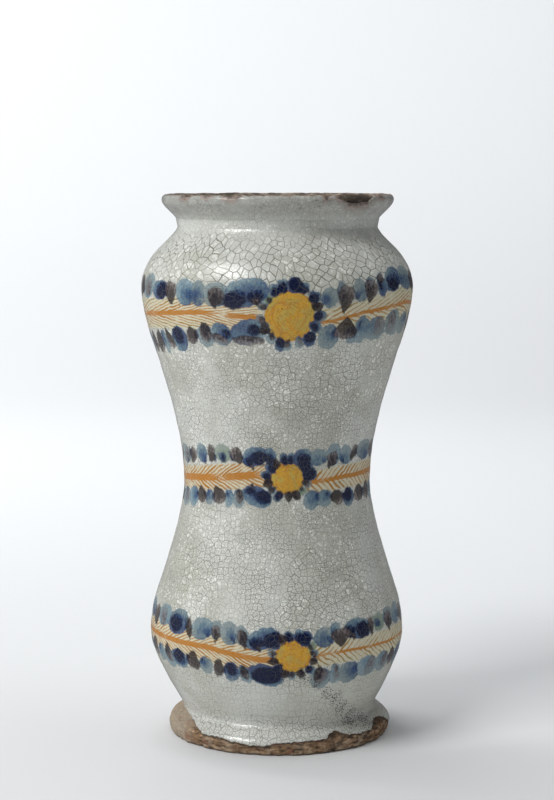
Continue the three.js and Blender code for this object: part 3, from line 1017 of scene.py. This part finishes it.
seed_colour = laid(fade(clouds(place, 6.0, 4.0, 0.8), 0.46, 0.6), OCHRE, PALE_OCHRE)
seed_colour = laid(fade(worked(1.3, 1.4, 4.0), 0.50, 0.62) * 0.65, seed_colour, ORANGE)
seed_colour = laid(fade(worked(3.2, 3.0, 5.0), 0.55, 0.66) * 0.5, seed_colour, BURNT_OCHRE)
seed_rim = fade(seed_depth + clouds(place, 3.0, 3.0) * 2.4, 2.6, 1.0)
seed_colour = laid(seed_rim * 0.6, seed_colour, ORANGE)
colour = laid(seed_mask * 0.96, colour, seed_colour)

# The dabs: copper, pale cobalt wash, full cobalt and manganese, one over the other.
green_mask, green_load, _ = brushed("copper", 0.5, 0.8)
colour = laid(green_mask * (green_load * 0.4 + 0.5), colour, COPPER_GREEN)
wash_mask, wash_load, wash_tint = brushed("wash", 0.4, 1.0)
pale_wash = laid(wash_tint, PALE_COBALT, GREY_COBALT)
wash_colour = laid(fade(wash_load, 0.2, 1.0), pale_wash, COBALT)
colour = laid(wash_mask * (fade(wash_load, 0.0, 0.6) * 0.25 + 0.68), colour, wash_colour)
blue_mask, blue_load, _ = brushed("cobalt", 0.7, 1.2)
blue_colour = laid(fade(blue_load, 0.15, 0.8), COBALT, DEEP_COBALT)
colour = laid(blue_mask * (fade(blue_load, 0.0, 0.6) * 0.3 + 0.68), colour, blue_colour)
brown_mask, brown_load, _ = brushed("manganese", 0.5, 1.4)
brown_depth = fade(brown_load + fade(brown_mask, 1.0, 0.4) * 0.3, 0.1, 0.8)
brown_colour = laid(brown_depth, PALE_MANGANESE, DEEP_MANGANESE)
colour = laid(brown_mask * (fade(brown_load, -0.2, 0.5) * 0.5 + 0.42), colour, brown_colour)
paint = highest(seed_mask, brown_mask, wash_mask, blue_mask)
colour = laid(cracks * paint * 0.25, colour, CRACK_STAIN)

# Pores in the glaze, the patch of pits above the foot, and the wear at both edges.
pores = cells(place, 0.16)
pore = fade(pores, 0.075, 0.04) * fade(parts(pores.also("Color"))[1], 0.72, 0.76)
colour = laid(pore * 0.85, colour, DARK_SOIL_AND_SHADE)
pitted_here = stored(tree, "pitted")
pit_cells = cells(place, 1.1)
pit_chance = fade(parts(pit_cells.also("Color"))[0] + pitted_here, 0.62, 0.78)
pits = pit_chance * fade(pitted_here, 0.03, 0.15) * fade(pit_cells, 0.55, 0.3)
colour = laid(pitted_here * 0.14, colour, PIT_HAZE)
colour = laid(pits * 0.95, colour, PIT_DIRT)
wear_noise = stored(tree, "worn") + clouds(place, 2.0, 4.0) * 0.9
stain_colour = laid(fade(clouds(place, 3.0, 3.0), 0.42, 0.58), BROWN_STAIN, GREY_STAIN)
colour = laid(fade(wear_noise, 0.58, 0.95) * 0.55, colour, stain_colour)
wear = fade(wear_noise, 1.0, 1.2)
worn_colour = laid(fade(clouds(place, 2.2, 3.0), 0.42, 0.58), WORN_CLAY, DARK_SOIL_AND_SHADE)
colour = laid(wear * 0.7, colour, worn_colour)

roughness = cracks * 0.2 + highest(wear, pits) * 0.6 + shoulder * 0.15 + soft * 0.22
calm_lip = fade(height, 268.0, 262.0) * 0.65 + 0.25
relief = clouds(place, 5.5, 1.0) * calm_lip - cracks * 0.7 + (paint + bristle * paint) * 0.25
relief = relief - highest(pore, pits, wear) - grooves * low_down * 1.2
dress(shader, colour, roughness, relief, 0.6, 0.12 * MM)
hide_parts("outer_glaze")
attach(coat, "root")

# The room for the picture: a pale floor that curves up into a wall on every side, so that the
# jar has the same plain ground from wherever it is seen.
FLOOR_R = 1.5
SWEEP_R = 2.7
SWEEP_TOP = 2.1

bpy.ops.object.select_all(action="DESELECT")
sweep_section = [(0.0, 0.0), (0.4, 0.0), (1.0, 0.0)]
sweep_section += [tuple(point) for point in curved((FLOOR_R, 0.0), (SWEEP_R, 0.0), (SWEEP_R, 1.2), 16)]
sweep_section += [(SWEEP_R, SWEEP_TOP)]
sweep = thrown("pale_sweep", sweep_section, 96, closed=False)

# The paper's colour as the camera sees it, and on the floor and the wall as it lights the jar
# and as the glaze mirrors it.
SEEN_PAPER = (0.64, 0.65, 0.66, 1)
LIT_FLOOR = (0.95, 0.96, 0.97, 1)
LIT_WALL = (0.12, 0.12, 0.12, 1)
MIRRORED_FLOOR = (0.16, 0.16, 0.165, 1)
MIRRORED_WALL = (0.06, 0.06, 0.065, 1)

tree, shader = new_finish(sweep, "pale_paper")
shader.inputs["Roughness"].default_value = 0.9
shader.inputs["Specular IOR Level"].default_value = 0.2
up_the_wall = fade(parts(in_millimetres(tree))[2], 5.0, 300.0)
seen = wired(tree, "ShaderNodeLightPath", {}, "Is Camera Ray")
lighting = laid(up_the_wall, LIT_FLOOR, LIT_WALL)
mirrored = laid(up_the_wall, MIRRORED_FLOOR, MIRRORED_WALL)
out_of_sight = laid(seen.also("Is Glossy Ray"), lighting, mirrored)
join(laid(seen, out_of_sight, SEEN_PAPER), shader.inputs["Base Color"])


def softbox(name, place, target, width, length, power, colour):
    """A flat studio light at a place, turned towards a target."""
    bpy.ops.object.light_add(type="AREA", location=place)
    lamp = bpy.context.object
    lamp.name = name
    lamp.data.shape = "RECTANGLE"
    lamp.data.size, lamp.data.size_y = width, length
    lamp.data.energy = power
    lamp.data.color = colour
    x, y, z = (b - a for a, b in zip(place, target))
    lamp.rotation_euler = (math.atan2(math.hypot(x, y), -z), 0, math.atan2(-x, y))
    return lamp


jar_middle = (0, 0, HEIGHT / 2)
softbox("left_softbox", (-1.23, -1.03, 1.64), jar_middle, 1.0, 0.65, 33.5, (1.0, 1.0, 0.99))
overhead = softbox("overhead_softbox", (0.5, 0.4, 2.2), (0.2, 0.1, 0), 2.0, 1.4, 16.5, (0.99, 1.0, 1.0))
wall_light = softbox("wall_light", (-0.8, 0.9, 1.9), (-0.6, 2.4, 0.5), 1.6, 0.8, 53, (0.98, 0.99, 1.0))
left_wall = softbox("left_wall_glow", (-1.9, 0.3, 1.2), jar_middle, 1.4, 0.8, 9, (0.99, 1.0, 1.0))
right_fill = softbox("right_fill", (1.5, -0.55, 0.8), (0, 0, 0.04), 0.8, 0.6, 1.3, (0.96, 0.98, 1.0))
for lamp in (overhead, wall_light, left_wall, right_fill):
    lamp.visible_glossy = False

world = bpy.data.worlds.new("pale_room")
world.use_nodes = True
glow = world.node_tree.nodes["Background"].inputs
glow["Color"].default_value = (0.93, 0.96, 1.0, 1)
glow["Strength"].default_value = 0.17
bpy.context.scene.world = world
bpy.context.scene.view_settings.view_transform = "Standard"

# The camera stands a little above the shoulder and looks slightly down.
CAMERA_PLACE = (0.0, -1.073, 0.2918)
CAMERA_PITCH = 6.3
LENS_MM = 93.6
bpy.ops.object.camera_add(location=CAMERA_PLACE, rotation=(math.radians(90 - CAMERA_PITCH), 0, 0))
camera = bpy.context.object
camera.data.lens = LENS_MM
camera.data.clip_end = 20.0
bpy.context.scene.camera = camera
